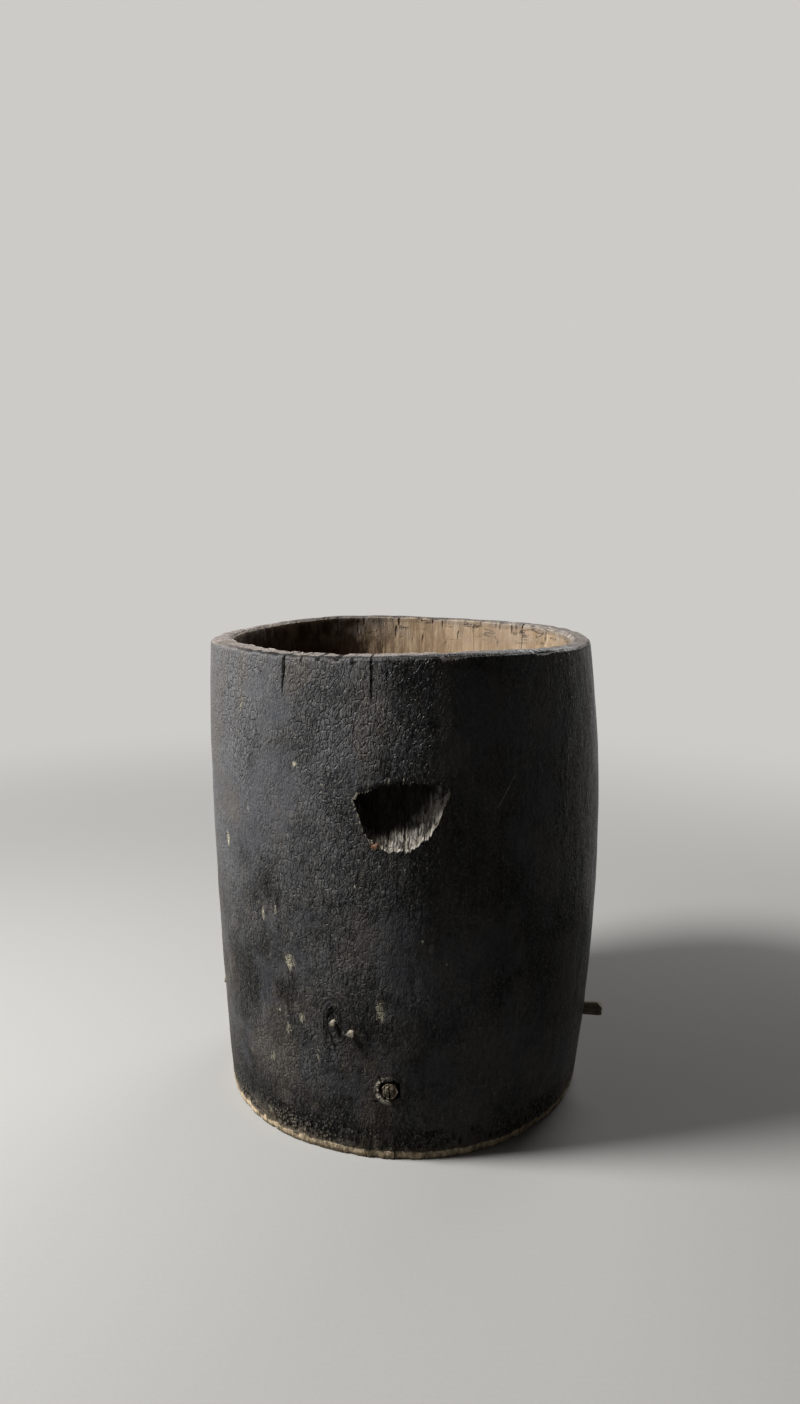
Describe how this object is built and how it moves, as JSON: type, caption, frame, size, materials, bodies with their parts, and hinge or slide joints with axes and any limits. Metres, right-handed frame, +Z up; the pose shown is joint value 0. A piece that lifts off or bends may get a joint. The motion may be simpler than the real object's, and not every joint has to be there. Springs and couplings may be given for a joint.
{
  "type": "wooden pot",
  "caption": "Tall round storage pot hollowed from a log, with a pegged plank bottom and half-moon finger holds in its wall.",
  "frame": {"origin": "on the surface that the pot stands on, under the middle of its overall box, which the peg that stands out at the right puts 9 mm to the right of the bore's axis", "axes": "+Z up along the log, -Y towards the front with the small pins, +X to the right, where one bottom peg stands proud"},
  "size_m": [0.3956, 0.3834, 0.4566],
  "materials": {
    "blackened_log": "smoke-blackened outside worn to a low sheen, bare tan wood inside",
    "bottom_board": "bare, dry, rubbed",
    "dowel": "split bamboo, raw",
    "peg": "whittled, grey and dry",
    "pin": "bleached, dry"
  },
  "bodies": {
    "root": {"hollow_log": "blackened_log", "bottom_plank_front": "bottom_board", "bottom_plank_middle": "bottom_board", "bottom_plank_back": "bottom_board", "front_left_dowel": "dowel", "front_right_dowel": "dowel", "back_left_dowel": "dowel", "back_right_dowel": "dowel", "front_peg": "peg", "right_peg": "peg", "back_peg": "peg", "left_peg": "peg", "pale_pin": "pin", "knot_pin": "pin", "left_pin": "pin"}
  },
  "joints": []
}
